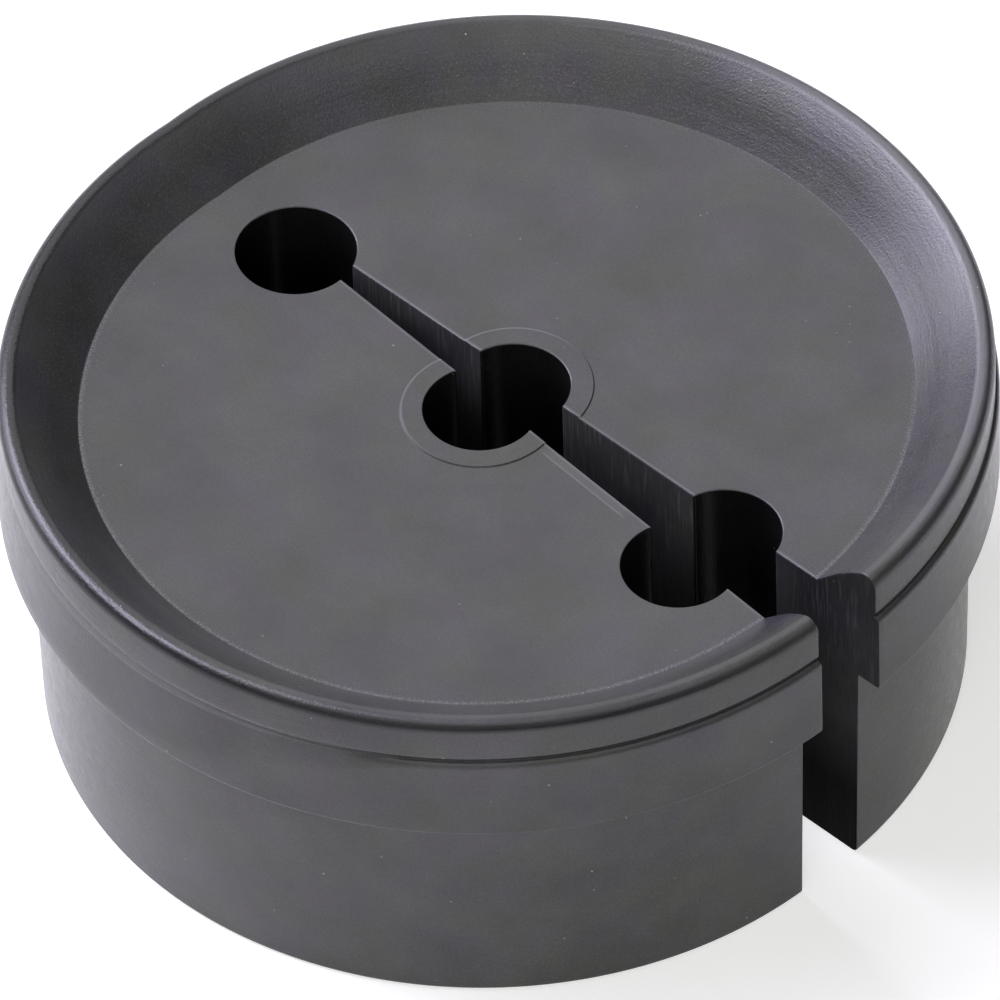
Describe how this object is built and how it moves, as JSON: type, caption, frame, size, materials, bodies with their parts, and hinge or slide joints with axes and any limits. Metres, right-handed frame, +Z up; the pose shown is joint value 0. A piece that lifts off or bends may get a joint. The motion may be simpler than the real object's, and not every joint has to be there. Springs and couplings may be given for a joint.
{
  "type": "cable gland sealing insert",
  "caption": "Round black rubber sealing insert for a cable gland: a plug with a dished flange, cable holes in a row, and a cut that opens them to the side.",
  "frame": {"origin": "on the axis of the closed plug, at the flat foot that stands on the floor", "axes": "+Z up through the dished flange, +X along the cut from the hinge web to the open mouth, +Y across the cut"},
  "size_m": [0.034, 0.0354, 0.0145],
  "materials": {
    "black_rubber": "matt, finely textured as moulded"
  },
  "bodies": {
    "root": {"sealing_insert": "black_rubber"}
  },
  "joints": []
}
